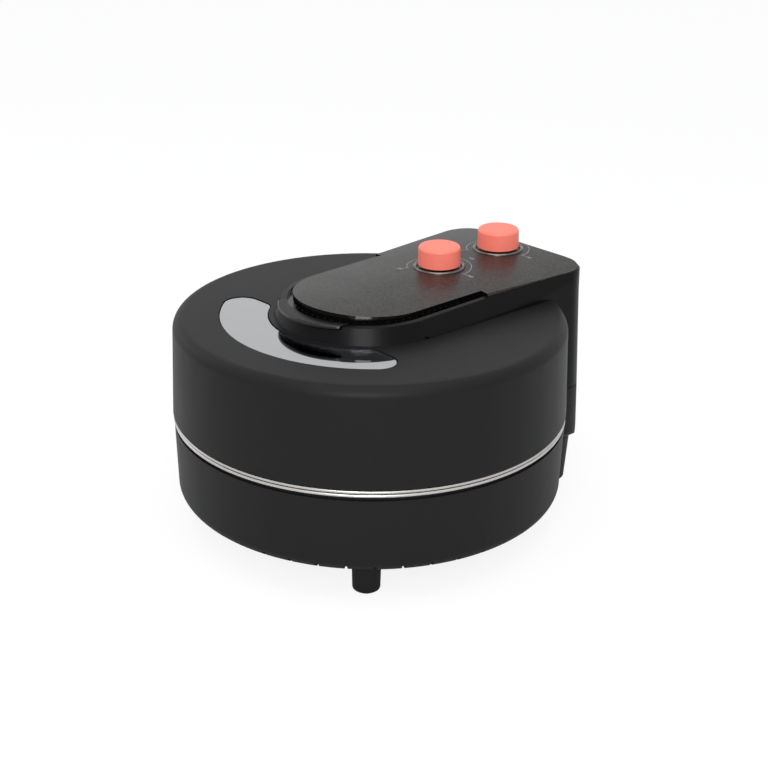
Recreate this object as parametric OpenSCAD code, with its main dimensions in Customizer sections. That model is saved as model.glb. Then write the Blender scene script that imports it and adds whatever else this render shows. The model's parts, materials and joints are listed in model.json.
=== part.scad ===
// Countertop electric pizza maker: a round base with a heated stone, and a hinged
// domed lid with a window, whose arm carries the controls and turns down at the back
// into the hinge tower. +Y is the back, +Z is up, and the feet stand on z = 0.

/* [Drum] */
// Outer radius of the lid at its lower edge
drum_r = 180; // [170:1:185]
// Height of the lower edge of the steel rims above the table
rim_z = 101.1; // [98:0.1:104]
// Height of the flat top of the lid above the table
lid_top_z = 196.7; // [194:0.1:200]
// Rounding of the lid's shoulder
shoulder_r = 10.5; // [6:0.5:14]
// How much narrower the lid is at the top than at its lower edge
lid_draft = 2.8; // [1:0.1:4]
// Height of the underside of the base above the table
base_bottom_z = 28.6; // [26:0.1:31]
// Rounding of the base's lower edge
base_edge_r = 12; // [8:0.5:14]
// Wall of the two plastic casings
wall = 2.8; // [2.2:0.1:3.2]
// Number of air slots round the base's lower edge
air_slots = 45; // [24:1:60]

/* [Arm] */
// Distance of the nose's centre in front of the drum's axis
nose_y = -5.5; // [-10:0.5:0]
// Radius of the arm's nose where it meets the lid
nose_r = 83.3; // [78:0.1:86]
// How much wider each side of the arm is at the back than at the nose
arm_flare = 2.5; // [0:0.1:4]
// How much wider each side of the tower is at the split than at the lid's top
tower_flare = 4; // [1:0.1:5]
// Distance of the tower's back face behind the drum's axis
back_y = 201.7; // [199:0.1:204]
// Radius of the tower's back corners in plan
corner_r = 27; // [20:1:32]
// Height of the arm's rim above the table, at the nose's centre
arm_rim_z = 212.3; // [211:0.1:215]
// Slope of the arm's top, which rises towards the back, in degrees
top_tilt = 1; // [0:0.1:1.5]
// How much steeper than the top the arm's rim rises, in degrees
rim_tilt = 0.45; // [0:0.05:0.8]
// How far the arm's wall leans in from the lid up to the rim at the nose
nose_lean = 7.3; // [6:0.1:8]
// How far the wall leans in at the tower's back corners
rear_lean = 1.6; // [1:0.1:2]
// Radius of the panel's nose, inside the groove
panel_r = 65.5; // [62:0.5:67]
// Radius of the outer side of the groove at the nose
groove_r = 71.3; // [70:0.1:73]
// Where the groove ends on both sides, behind the drum's axis
groove_end_y = 73; // [60:1:80]
// Height of the panel's crown above the rim
crown_h = 7.4; // [6:0.1:9]
// Radius of the panel's crown across the arm
crown_r = 650; // [560:10:900]

/* [Window] */
// Radius of the window's front edge, about the drum's axis
window_r = 136; // [132:0.5:140]
// Radius of the window's two outer corners
window_corner_r = 17; // [12:1:20]
// Radius of the window's two inner corners
window_inner_r = 11; // [8:1:14]
// Strip of lid left between the arm's nose and the window
window_strip = 4; // [3:0.5:6]

/* [Controls] */
// Distance of the temperature knob behind the drum's axis
temperature_y = 84.8; // [82:0.1:88]
// Distance of the timer knob behind the drum's axis
timer_y = 163.2; // [160:0.1:165]
// Radius of a knob
knob_r = 20; // [18:0.1:21]
// Height of a knob
knob_h = 17.8; // [15:0.1:20]
// Gap between a knob and the panel's crown
knob_gap = 2.5; // [1.5:0.1:3]
// Outer radius of a knob's bezel
bezel_r = 24.3; // [23:0.1:26]
// Radius of a knob's shaft
shaft_r = 3; // [2.5:0.1:3.5]

/* [Hinge] */
// Height of the split between the tower and its lower block
split_z = 101.1; // [100:0.1:103]
// Distance of the hinge pin behind the drum's axis
pin_y = 199.1; // [198:0.1:199.2]
// Radius of the hinge pin
pin_r = 3; // [2.5:0.1:3.2]
// Outer radius of the hinge knuckles
knuckle_r = 6; // [5:0.1:6.2]
// Lower edge of the hinge block above the table
block_bottom_z = 46.6; // [44:0.1:52]

/* [Hot parts] */
// Radius of the baking stone
stone_r = 159; // [150:1:160]
// Thickness of the baking stone
stone_t = 13; // [10:0.5:14]
// Radius of the heating loops
loop_r = 106; // [95:1:115]
// Radius of the heating element's tube
tube_r = 3.2; // [3:0.1:4]

/* [Feet] */
// Distance of the feet from the drum's axis
foot_circle_r = 152; // [145:1:153]
// Radius of a foot
foot_r = 12.7; // [10:0.1:13]
// Angle of each foot from the sideways axis, in degrees
foot_angle = 42.4; // [40:0.1:50]

/* [Hidden] */
$fn = 96;

matte_black = [0.16, 0.16, 0.17];
satin_grey = [0.34, 0.33, 0.32];
coral = [1, 0.5, 0.44];
steel = [0.75, 0.75, 0.74];
dark_steel = [0.35, 0.34, 0.33];
rubber_black = [0.08, 0.08, 0.08];
stone_tan = [0.76, 0.68, 0.56];
glass_grey = [0.7, 0.71, 0.73, 0.6];

block_flare = 1.5;
axis_y = (drum_r - back_y - tower_flare - block_flare) / 2; // moves the drum's axis so the box is centred
base_r = drum_r - 1;
base_draft = 1.4;
base_top_z = rim_z - 3;
lid_edge_z = rim_z + 6.7;
lid_top_r = drum_r - lid_draft;
bead_r = 1.45;                             // rolled edge of the steel liners
bead_ring_r = drum_r - 0.35 - bead_r;
bead_gap = 0.5;
base_bead_z = rim_z + bead_r;
lid_bead_z = base_bead_z + 2 * bead_r + bead_gap;
sheet = 1.2;                               // steel sheet of the liners
bowl_r = stone_r + 2.5;
gasket_top_z = base_bead_z + bead_r - sheet - 0.4;
ledge_z = 83.6;
bowl_floor_z = 65.6;
bowl_floor_r = 150;
dome_r = 167;
dome_top_z = 176.6;
lower_loop_z = 74.1;
upper_loop_z = 163.6;
loop_gap_x = 13;                           // half the gap between a loop's two legs
elbow_r = 10;                              // bend between a loop and its legs
back_len = back_y - nose_y;
split_gap = 0.8;
knuckle_end = 66;
knuckle_clear = 0.6;
base_spans = [[-knuckle_end, -44], [-11, 11], [44, knuckle_end]];
lid_spans = [[knuckle_clear - 44, -11 - knuckle_clear], [11 + knuckle_clear, 44 - knuckle_clear]];
belly_r = 11;
panel_skin = 3;
groove_depth = 3.7;
shelf_depth = 1.9;                         // seat of the panel's wide back part
shelf_nose = -1.1 - nose_lean;
shelf_rear = -1.1 - rear_lean;
lip_front = 84;                            // the lip's front, from the nose's centre
lip_end = 42;
lip_r = 61.7;
lip_t = 2.8;
lip_rise = 1.3;
vent_r = 1;
vent_step = 6.2;                           // degrees between vent holes round the nose
vent_z = 0.2;
leaf_low_z = 61.6;                         // lower end of the hinge leaf in the block
screw_x = 28;
screw_rows = [118, 148];
screw_r = 1.9;
glass_t = 4;
glass_top_z = lid_top_z - wall - 0.5;
inner_glass_z = dome_top_z + 0.2;
shaft_fit = 0.05;
pin_fit = 0.05;
knob_low_z = crown_h + knob_gap;           // in the frame of the arm's top

// ---- frames ----

module on_axis() {
    translate([0, axis_y, 0]) children();
}

// The arm's sloping top: the nose's centre is its origin, and the rim is z = 0.
module on_top() {
    on_axis() translate([0, nose_y, arm_rim_z]) rotate([top_tilt, 0, 0]) children();
}

module at_knob(y) {
    translate([0, y - nose_y, 0]) children();
}

// ---- shared outlines ----

// A part of the arm between two heights. Each level is offset from the arm's foot.
module arm_stage(z1, grow1, z2, grow2, front = nose_y, corner = corner_r) {
    rear = front + back_len;
    hw = nose_r + arm_flare;
    h = z2 - z1;
    translate([0, front, z1]) cylinder(h = h, r1 = nose_r + grow1, r2 = nose_r + grow2, $fn = 180);
    for (side = [-1, 1]) translate([side * (hw - corner), rear - corner, z1])
        cylinder(h = h, r1 = corner + grow1, r2 = corner + grow2);
    level = function(z, g) [
        [-nose_r - g, front, z], [nose_r + g, front, z],
        [hw + g, rear - corner, z], [hw - corner, rear + g, z],
        [corner - hw, rear + g, z], [-hw - g, rear - corner, z]];
    polyhedron(points = concat(level(z1, grow1), level(z2, grow2)),
        faces = [[0, 1, 2, 3, 4, 5], [11, 10, 9, 8, 7, 6],
            for (i = [0 : 5]) [i, i + 6, (i + 1) % 6 + 6, (i + 1) % 6]]);
}

// The same between two levels of the arm's sloping top.
module top_stage(z1, grow1, z2, grow2) {
    arm_stage(z1, grow1, z2, grow2, 0, corner_r - 1.3);
}

// A part of the arm whose wall leans in more at the nose than at the tower. Its sides run
// straight back to the groove's end and widen from there.
module leaning_stage(z1, nose1, rear1, z2, nose2, rear2) {
    corner = corner_r - 1.3;
    hw = nose_r + arm_flare;
    waist_y = groove_end_y - nose_y + 6;
    side_over = 0.15;                      // keeps the sides clear of the corners' arcs
    translate([0, 0, z1]) cylinder(h = z2 - z1, r1 = nose_r + nose1, r2 = nose_r + nose2, $fn = 180);
    for (side = [-1, 1]) translate([side * (hw - corner), back_len - corner, z1])
        cylinder(h = z2 - z1, r1 = corner + rear1, r2 = corner + rear2);
    level = function(z, n, r) [
        [-nose_r - n, 0, z], [nose_r + n, 0, z], [nose_r + n + 0.4, waist_y, z],
        [hw + r + side_over, back_len - corner, z], [hw - corner, back_len + r, z], [corner - hw, back_len + r, z],
        [-hw - r - side_over, back_len - corner, z], [-nose_r - n - 0.4, waist_y, z]];
    polyhedron(points = concat(level(z1, nose1, rear1), level(z2, nose2, rear2)),
        faces = concat([[0, 1, 2, 3, 4, 5, 6, 7], [15, 14, 13, 12, 11, 10, 9, 8]],
            [for (i = [0 : 7]) let (j = (i + 1) % 8) i < 4 ? [i, i + 8, j + 8] : [i, i + 8, j]],
            [for (i = [0 : 7]) let (j = (i + 1) % 8) i < 4 ? [i, j + 8, j] : [i + 8, j + 8, j]]));
}

// The tower and arm are narrower at the top than at the split.
module arm_body(grow = 0) {
    arm_stage(split_z, tower_flare + grow, lid_top_z, grow);
    arm_stage(lid_top_z, grow, lid_top_z + 32, grow - 0.5);
}

// The window between its front arc and the arm's nose.
module window_outline(grow = 0) {
    inner_edge_r = nose_r + window_strip;
    outer_x = 92.5;
    outer_y = -sqrt(pow(window_r - window_corner_r, 2) - pow(outer_x, 2));
    inner_y = -68.5;
    inner_x = sqrt(pow(inner_edge_r + window_inner_r, 2) - pow(inner_y - nose_y, 2));
    near = inner_edge_r / (inner_edge_r + window_inner_r);
    far = window_r / (window_r - window_corner_r);
    touch_in = [inner_x * near, nose_y + (inner_y - nose_y) * near];
    touch_out = [outer_x * far, outer_y * far];
    difference() {
        intersection() {
            circle(window_r + grow, $fn = 240);
            polygon([[-touch_in.x, touch_in.y], touch_in, touch_out, [touch_out.x, -200],
                [-touch_out.x, -200], [-touch_out.x, touch_out.y]]);
        }
        translate([0, nose_y]) circle(inner_edge_r - grow, $fn = 180);
    }
    for (side = [-1, 1]) hull() {
        translate([side * outer_x, outer_y]) circle(window_corner_r + grow, $fn = 48);
        translate([side * inner_x, inner_y]) circle(window_inner_r + grow, $fn = 36);
    }
}

// A revolved casing profile: a drafted wall with one rounded edge, from the axis out.
module dome_profile(edge_r, top_r, edge_z, top_z, round) {
    polygon([[0, edge_z], [edge_r, edge_z], [top_r, top_z - round], [top_r - round, top_z],
        [0, top_z]]);
    translate([top_r - round, top_z - round]) circle(round);
}

// The room that the closed lid takes up, for the arm and tower to fit round.
module lid_space(gap, top_z) {
    r = lid_top_r + gap - shoulder_r;
    rotate_extrude($fn = 180) {
        polygon([[0, split_z - 5], [drum_r + gap, split_z - 5], [drum_r + gap, lid_edge_z],
            [lid_top_r + gap, top_z - shoulder_r], [r, top_z], [0, top_z]]);
        translate([r, top_z - shoulder_r]) circle(shoulder_r);
    }
}

// The room that the base takes up, for the hinge block and the stand to fit round.
module base_space(gap) {
    rotate_extrude($fn = 180) difference() {
        union() {
            translate([0, base_top_z + base_bottom_z]) mirror([0, 1]) dome_profile(base_r + gap,
                base_r - base_draft + gap, base_bottom_z, base_top_z, base_edge_r);
            translate([0, base_top_z - 0.5]) square([base_r + gap, 20]);
        }
        mirror([1, 0]) square([drum_r * 2, drum_r * 2]);
    }
}

// A heating tube bent into one loop, with both ends turning out to the back.
module heating_loop(z, leg_end) {
    half_gap = asin((loop_gap_x + elbow_r) / (loop_r + elbow_r));
    elbow = (loop_r + elbow_r) * [sin(half_gap), cos(half_gap)];
    seam_r = tube_r + 0.15;
    translate([0, 0, z]) {
        rotate([0, 0, 90 + half_gap]) rotate_extrude(angle = 360 - 2 * half_gap, $fn = 144)
            translate([loop_r, 0]) circle(tube_r, $fn = 32);
        for (side = [0, 1]) mirror([side, 0, 0]) {
            translate(elbow) rotate([0, 0, 180]) rotate_extrude(angle = 90 - half_gap)
                translate([elbow_r, 0]) circle(tube_r, $fn = 32);
            translate(elbow * loop_r / (loop_r + elbow_r)) sphere(seam_r, $fn = 32);
            translate([elbow.x - elbow_r, elbow.y, 0]) {
                sphere(seam_r, $fn = 32);
                rotate([-90, 0, 0]) cylinder(h = leg_end - elbow.y, r = tube_r, $fn = 32);
            }
        }
    }
}

// Saddles that hold a loop off its liner.
module loop_clips(z_from, z_to, loop_z) {
    for (a = [30, 150, 270]) rotate([0, 0, a]) difference() {
        translate([loop_r - 7, -5, z_from]) cube([14, 10, z_to - z_from]);
        translate([loop_r, -6, loop_z]) rotate([-90, 0, 0]) cylinder(h = 12, r = tube_r + 0.3, $fn = 32);
        translate([loop_r - 4, -2.5, z_from - 1]) cube([8, 5, (z_to - z_from) * 0.45]);
    }
}

module pan_screw(len) {
    cylinder(h = len, r = screw_r, $fn = 24);
    difference() {
        translate([0, 0, -2.2]) cylinder(h = 2.2, r1 = 3, r2 = 3.8, $fn = 24);
        for (turn = [0, 90]) rotate([0, 0, turn]) translate([-2.2, -0.5, -3]) cube([4.4, 1, 1.9]);
    }
}

// ---- base ----

module base_shell() {
    color(matte_black) on_axis() difference() {
        rotate_extrude($fn = 180) difference() {
            translate([0, base_top_z + base_bottom_z]) mirror([0, 1])
                dome_profile(base_r, base_r - base_draft, base_bottom_z, base_top_z, base_edge_r);
            translate([0, base_top_z + base_bottom_z]) mirror([0, 1]) dome_profile(base_r - wall,
                base_r - base_draft - wall, base_bottom_z - 1, base_top_z - wall, base_edge_r - wall);
            translate([-1, 0]) square([121, base_top_z]);
            mirror([1, 0]) square([base_r * 2, drum_r]);
        }
        for (i = [0 : air_slots - 1]) rotate([0, 0, i * 360 / air_slots])
            translate([base_r - 15, -1.5, base_bottom_z - 1]) cube([20, 3, 7.5]);
        for (a = [45 : 90 : 315]) rotate([0, 0, a]) translate([126, 0, base_bottom_z - 1])
            cylinder(h = wall + 2, r = 2.2, $fn = 24);
    }
}

module bottom_plate() {
    plate_z = base_bottom_z + wall;
    color(dark_steel) on_axis() difference() {
        translate([0, 0, plate_z]) cylinder(h = sheet, r = 134, $fn = 144);
        for (a = [45 : 90 : 315]) rotate([0, 0, a]) translate([126, 0, plate_z - 1])
            cylinder(h = 4, r = 1.95, $fn = 24);
        for (ring = [40, 62, 84]) for (i = [0 : 11]) rotate([0, 0, i * 30])
            translate([ring, -2, plate_z - 1]) cube([14, 4, 4]);
    }
}

module bottom_screws() {
    color(steel) on_axis() for (a = [45 : 90 : 315]) rotate([0, 0, a])
        translate([126, 0, base_bottom_z]) pan_screw(8);
}

module at_feet() {
    for (a = [foot_angle, 180 - foot_angle, 180 + foot_angle, -foot_angle]) rotate([0, 0, a])
        translate([foot_circle_r, 0, 0]) children();
}

module feet() {
    color(matte_black) on_axis() at_feet() rotate_extrude($fn = 64) difference() {
            union() {
                polygon([[0, 1.5], [foot_r - 2.5, 1.5], [foot_r - 0.6, 3.4], [foot_r, base_bottom_z],
                    [0, base_bottom_z]]);
                translate([foot_r - 2.6, 3.5]) circle(2, $fn = 32);
            }
            translate([-5, 0]) square([5, 40]);
            translate([0, 1]) square([8.5, 2]);
        }
}

module foot_pads() {
    color(rubber_black) on_axis() {
        at_feet() cylinder(h = 3, r = 8.4, $fn = 48);
        for (side = [-1, 1]) translate([side * 58, 180.5, 0]) cylinder(h = 3, r = 6.9, $fn = 48);
    }
}

module rim_gasket() {
    color(rubber_black) on_axis() rotate_extrude($fn = 180)
        translate([base_r - 4.7, base_top_z]) square([2.2, gasket_top_z - base_top_z]);
}

// Steel bowl with a rolled rim, a ledge for the stone and a well for the element.
module base_liner() {
    flange_z = gasket_top_z;
    color(steel) on_axis() difference() {
        rotate_extrude($fn = 180) {
            translate([bead_ring_r, base_bead_z]) circle(bead_r, $fn = 32);
            polygon([[bowl_r + 4, flange_z + sheet], [bowl_r, flange_z - 3], [bowl_r, ledge_z],
                [bowl_floor_r, ledge_z], [bowl_floor_r, bowl_floor_z + 7],
                [bowl_floor_r - 6, bowl_floor_z], [0, bowl_floor_z], [0, bowl_floor_z - sheet],
                [bowl_floor_r - 5, bowl_floor_z - sheet], [bowl_floor_r + sheet, bowl_floor_z + 6],
                [bowl_floor_r + sheet, ledge_z - sheet], [bowl_r + sheet, ledge_z - sheet],
                [bowl_r + sheet, flange_z - 4], [bowl_r + 4, flange_z],
                [bead_ring_r - 0.3, flange_z], [bead_ring_r - 0.3, flange_z + sheet]]);
        }
        for (side = [-1, 1]) translate([side * loop_gap_x, bowl_floor_r - 8, lower_loop_z])
            rotate([-90, 0, 0]) cylinder(h = 20, r = tube_r + 0.3, $fn = 32);
    }
}

module lower_element() {
    color(dark_steel) on_axis() heating_loop(lower_loop_z, bowl_floor_r + 8);
}

module lower_element_clips() {
    color(steel) on_axis() loop_clips(bowl_floor_z, lower_loop_z + 2, lower_loop_z);
}

module pizza_stone() {
    color(stone_tan) on_axis() rotate_extrude($fn = 180) {
        polygon([[0, ledge_z + 0.1], [stone_r - 2, ledge_z + 0.1], [stone_r, ledge_z + 2],
            [stone_r, ledge_z + stone_t - 3], [stone_r - 3, ledge_z + stone_t],
            [0, ledge_z + stone_t]]);
        translate([stone_r - 3, ledge_z + stone_t - 3]) circle(3, $fn = 40);
    }
}

// ---- hinge block and rear stand ----

// The block's walls go on flaring below the split.
module block_outer(grow = 0) {
    belly_z = block_bottom_z + belly_r;
    wide = tower_flare + block_flare + grow;
    arm_stage(belly_z, wide, split_z, tower_flare + grow);
    arm_stage(block_bottom_z, wide, belly_z, wide);
}

// Everything inside the block's rounded lower edge, as seen along one direction.
module belly_limit(a) {
    wide = tower_flare + block_flare;
    far = abs(cos(a)) * (nose_r + arm_flare - corner_r) + sin(a) * (back_y - corner_r)
        + corner_r + wide + 0.3;
    rotate([0, 0, a]) translate([0, 250, 0]) rotate([90, 0, 0]) linear_extrude(500) {
        translate([-300, block_bottom_z + belly_r]) square([far + 300, 60]);
        translate([-300, block_bottom_z]) square([far - belly_r + 300, 40]);
        translate([far - belly_r, block_bottom_z + belly_r]) circle(belly_r);
    }
}

module hinge_housing() {
    notch_z = split_z - 7;
    hollow_z = block_bottom_z + 7;
    color(matte_black) on_axis() difference() {
        intersection() {
            block_outer();
            belly_limit(0);
            belly_limit(30);
            belly_limit(60);
            belly_limit(90);
            belly_limit(120);
            belly_limit(150);
            belly_limit(180);
        }
        base_space(0.2);
        // hollow for the bracket and the terminals
        intersection() {
            block_outer(-wall);
            difference() {
                translate([-100, 100, hollow_z]) cube([200, 120, notch_z - wall - hollow_z]);
                base_space(wall);
            }
        }
        // room for the knuckles, and for the tower's back wall as it swings down
        translate([-knuckle_end - 2, pin_y - knuckle_r - 0.6, notch_z]) cube([knuckle_end * 2 + 4, 30, 20]);
        translate([-79, pin_y - 0.3, notch_z]) cube([158, 30, 20]);
        for (span = base_spans) translate([span[0] - 0.1, pin_y - knuckle_r - 0.1, notch_z - 5])
            cube([span[1] - span[0] + 0.2, 2.7, 8]);
    }
}

module rear_stand() {
    color(matte_black) on_axis() difference() {
        intersection() {
            arm_stage(1, -3, block_bottom_z, 0);
            translate([-100, 157, 1]) cube([200, 60, 60]);
        }
        base_space(0.2);
        difference() {
            arm_stage(1 + wall, -2.8 - wall, block_bottom_z - wall, -0.2 - wall);
            translate([-100, 100, -5]) cube([200, 57 + wall, 60]);
            translate([0, 0, -wall]) base_space(wall);
            for (side = [-1, 1]) translate([side * 58, 180.5, 3]) cylinder(h = 60, r = 8.5, $fn = 48);
        }
        for (side = [-1, 1]) translate([side * 58, 180.5, 0]) cylinder(h = 3, r = 7, $fn = 48);
        translate([0, 180, 20]) rotate([-90, 0, 0]) cylinder(h = 30, r = 7, $fn = 48);
    }
}

module cord_gland() {
    face_y = back_y - 1.7;
    color(rubber_black) on_axis() translate([0, face_y, 20]) rotate([-90, 0, 0])
        rotate_extrude($fn = 48) polygon([[3.75, -8], [9.5, -8], [9.5, -4.8], [7, -4.8], [7, 0.6], [9.2, 0.6],
            [9.2, 2.2], [8.2, 4], [3.75, 4]]);
}

module knuckles(spans, bore) {
    for (span = spans) translate([span[0], pin_y, split_z]) rotate([0, 90, 0]) difference() {
        cylinder(h = span[1] - span[0], r = knuckle_r, $fn = 48);
        translate([0, 0, -1]) cylinder(h = span[1] - span[0] + 2, r = bore, $fn = 48);
    }
}

module base_hinge_bracket() {
    leaf_y = pin_y - knuckle_r;
    color(steel) on_axis() {
        knuckles(base_spans, pin_r);
        for (span = base_spans) translate([span[0], leaf_y, split_z - 14])
            cube([span[1] - span[0], 2.5, 13]);
        translate([-knuckle_end, leaf_y, leaf_low_z])
            cube([knuckle_end * 2, 2.5, split_z - 14 - leaf_low_z + 0.5]);
        translate([-knuckle_end, leaf_y - 7, leaf_low_z]) cube([knuckle_end * 2, 9.5, 2.5]);
    }
}

module hinge_pin() {
    color(steel) on_axis() translate([-knuckle_end - 0.3, pin_y, split_z]) rotate([0, 90, 0])
        cylinder(h = knuckle_end * 2 + 0.6, r = pin_r, $fn = 48);
}

module terminal_block() {
    color([0.85, 0.83, 0.76]) on_axis() difference() {
        translate([-18, pin_y - knuckle_r - 7.1, leaf_low_z + 8]) cube([36, 7, 14]);
        for (x = [-12, 0, 12]) translate([x, pin_y - knuckle_r - 8, leaf_low_z + 15]) rotate([-90, 0, 0])
            cylinder(h = 5, r = 2.4, $fn = 24);
    }
}

// ---- lid ----

module lid_shell() {
    color(matte_black) on_axis() difference() {
        rotate_extrude($fn = 180) difference() {
            union() {
                dome_profile(drum_r, lid_top_r, lid_edge_z + 1.2, lid_top_z, shoulder_r);
                translate([0, lid_edge_z]) square([drum_r - 1.2, 2]);
                translate([drum_r - 1.2, lid_edge_z + 1.2]) circle(1.2, $fn = 32);
            }
            dome_profile(drum_r - wall, lid_top_r - wall, lid_edge_z - 1, lid_top_z - wall,
                shoulder_r - wall);
            mirror([1, 0]) square([drum_r * 2, drum_r * 2]);
        }
        translate([0, 0, lid_top_z - 10]) linear_extrude(20) window_outline();
        // wires pass up into the arm here
        translate([-30, 30, lid_top_z - 10]) cube([60, 30, 20]);
        hinge_screw_places() cylinder(h = 10, r = screw_r + 0.05, $fn = 24);
    }
}

// Steel dome with a rolled rim, open under the window.
module lid_liner() {
    flange_z = lid_bead_z - bead_r + 0.4;
    color(steel) on_axis() difference() {
        rotate_extrude($fn = 180) {
            translate([bead_ring_r, lid_bead_z]) circle(bead_r, $fn = 32);
            polygon([[bead_ring_r - 0.3, flange_z], [bead_ring_r - 0.3, flange_z + sheet],
                [dome_r + 5 + sheet, flange_z + sheet], [dome_r + sheet, flange_z + 5],
                [dome_r + sheet, dome_top_z - 8], [dome_r - 8, dome_top_z], [0, dome_top_z],
                [0, dome_top_z - sheet], [dome_r - 8.5, dome_top_z - sheet], [dome_r, dome_top_z - 8.5],
                [dome_r, flange_z + 5], [dome_r + 5, flange_z]]);
        }
        translate([0, 0, dome_top_z - 10]) linear_extrude(20) window_outline(-5);
        for (side = [-1, 1]) translate([side * loop_gap_x, dome_r - 8, upper_loop_z])
            rotate([-90, 0, 0]) cylinder(h = 20, r = tube_r + 0.3, $fn = 32);
    }
}

module upper_element() {
    color(dark_steel) on_axis() heating_loop(upper_loop_z, dome_r + 5);
}

module upper_element_clips() {
    color(steel) on_axis() translate([0, 0, dome_top_z - sheet + upper_loop_z - 2]) mirror([0, 0, 1])
        loop_clips(upper_loop_z - 2, dome_top_z - sheet, dome_top_z - sheet - 2);
}

module thermostat_probe() {
    color(steel) on_axis() {
        translate([-35, 60, upper_loop_z + 4]) rotate([0, 90, 0]) cylinder(h = 70, r = 2.2, $fn = 32);
        for (x = [-25, 22]) translate([x, 57.5, upper_loop_z + 4])
            cube([3, 5, dome_top_z - sheet - upper_loop_z - 4]);
    }
}

module window_frame() {
    low = inner_glass_z + glass_t;
    seat = glass_top_z - glass_t;
    color(matte_black) on_axis() difference() {
        union() {
            translate([0, 0, seat - 3]) linear_extrude(lid_top_z - wall - seat + 3) window_outline(9);
            translate([0, 0, low]) linear_extrude(seat - 2 - low) window_outline(5);
        }
        translate([0, 0, low - 1]) linear_extrude(30) window_outline(2.5);
        translate([0, 0, seat]) linear_extrude(20) window_outline(6.4);
    }
}

module window_glass() {
    color(glass_grey) on_axis() translate([0, 0, glass_top_z - glass_t]) linear_extrude(glass_t)
        window_outline(6);
}

module inner_glass() {
    color(glass_grey) on_axis() translate([0, 0, inner_glass_z]) linear_extrude(glass_t)
        window_outline(5);
}

// ---- arm ----

// Everything under the arm's rim, in the frame of its sloping top.
module rim_envelope(lower = 0) {
    rotate([rim_tilt, 0, 0]) translate([0, 0, -lower]) {
        leaning_stage(-160, 8 - lower, 8 - lower, -17, 8 - lower, 8 - lower);
        leaning_stage(-17, 8 - lower, 8 - lower, -15.6, 0.2 - lower, 0.2 - lower);
        leaning_stage(-15.6, 0.2 - lower, 0.2 - lower, -0.9, 0.7 - nose_lean - lower,
            0.7 - rear_lean - lower);
        leaning_stage(-0.9, 0.7 - nose_lean - lower, 0.7 - rear_lean - lower, -0.25,
            -nose_lean - lower, -rear_lean - lower);
        leaning_stage(-0.25, -nose_lean - lower, -rear_lean - lower, 0.25,
            groove_r - 1 - nose_r - lower, -7 - lower);
    }
}

// Everything behind the groove's end, where the panel is as wide as the arm.
module behind_groove(gap = 0) {
    translate([-120, groove_end_y - nose_y + gap, -20]) cube([240, 260, 60]);
}

// Air holes in the panel's edge, round the nose and along both sides.
module vent_holes() {
    for (i = [0 : 29]) rotate([0, 0, -i * vent_step]) translate([panel_r - 5, 0, vent_z])
        rotate([0, 90, 0]) cylinder(h = 9, r = vent_r, $fn = 16);
    for (side = [-1, 1]) for (i = [1 : 10])
        translate([side * (panel_r - 5), i * panel_r * vent_step * PI / 180, vent_z])
            rotate([0, side * 90, 0]) cylinder(h = 9, r = vent_r, $fn = 16);
}

// The lip's crescent at the nose, with a rounded outer edge.
module lip() {
    edge = (lip_t + lip_rise - 0.1) / 2;
    difference() {
        intersection() {
            translate([0, lip_r - lip_front, 0]) rotate_extrude($fn = 144) {
                translate([0, 0.1 - lip_t]) square([lip_r - edge, edge * 2]);
                translate([lip_r - edge, lip_rise - edge]) intersection() {
                    circle(edge, $fn = 40);
                    translate([0, -edge]) square(edge * 2);
                }
            }
            translate([-lip_end, -120, -10]) cube([lip_end * 2, 80, 20]);
        }
        translate([0, 0, -10]) cylinder(h = 20, r = groove_r, $fn = 180);
    }
}

// The room for the lip in the housing.
module lip_seat() {
    fit = 0.1;
    translate([0, 0, -lip_t]) linear_extrude(20) difference() {
        intersection() {
            translate([0, lip_r - lip_front]) circle(lip_r + fit, $fn = 144);
            translate([-lip_end - fit, -120]) square([lip_end * 2 + 2 * fit, 80]);
        }
        circle(groove_r - 2, $fn = 180);
    }
}

module arm_housing() {
    color(matte_black) difference() {
        intersection() {
            on_axis() difference() {
                arm_body();
                lid_space(0.1, lid_top_z);
                translate([-120, -120, 0]) cube([240, 340, split_z + split_gap]);
            }
            on_top() rim_envelope();
        }
        // hollow for the controls, the wires and the hinge arms
        intersection() {
            on_axis() difference() {
                arm_body(-wall);
                lid_space(wall, lid_top_z - 1);
            }
            on_top() rim_envelope(groove_depth + 2.4);
        }
        // seat of the panel
        on_top() top_stage(-20, panel_r - nose_r - 3, 20, panel_r - nose_r - 3);
        on_top() intersection() {
            rotate([rim_tilt, 0, 0]) leaning_stage(-shelf_depth, shelf_nose, shelf_rear, 20, shelf_nose, shelf_rear);
            behind_groove();
        }
        // groove round the panel's front
        on_top() difference() {
            top_stage(-groove_depth, groove_r - nose_r, 20, groove_r - nose_r);
            behind_groove(-0.1);
        }
        on_top() lip_seat();
        // notches for the knuckles of the base
        on_axis() for (span = base_spans) translate([span[0] - knuckle_clear, pin_y, split_z]) {
            rotate([0, 90, 0])
                cylinder(h = span[1] - span[0] + 2 * knuckle_clear, r = knuckle_r + 0.5, $fn = 48);
            cube([span[1] - span[0] + 2 * knuckle_clear, 20, 5]);
        }
        on_axis() translate([-44, pin_y, split_z]) rotate([0, 90, 0])
            cylinder(h = 88, r = knuckle_r + 0.1, $fn = 48);
    }
}

// The edge of the panel's wide back part: each step is a height and its distance inwards.
module wide_part() {
    steps = [[0.5 - shelf_depth, 0.1], [0.3, 0.1], [1.45, 0.35], [2.6, 1], [3.6, 2.3], [4.6, 4.6],
        [5.8, 9.6], [8, 20]];
    for (i = [0 : len(steps) - 2]) let (a = steps[i], b = steps[i + 1])
        leaning_stage(a[0], shelf_nose - a[1], shelf_rear - a[1], b[0], shelf_nose - b[1], shelf_rear - b[1]);
}

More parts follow.
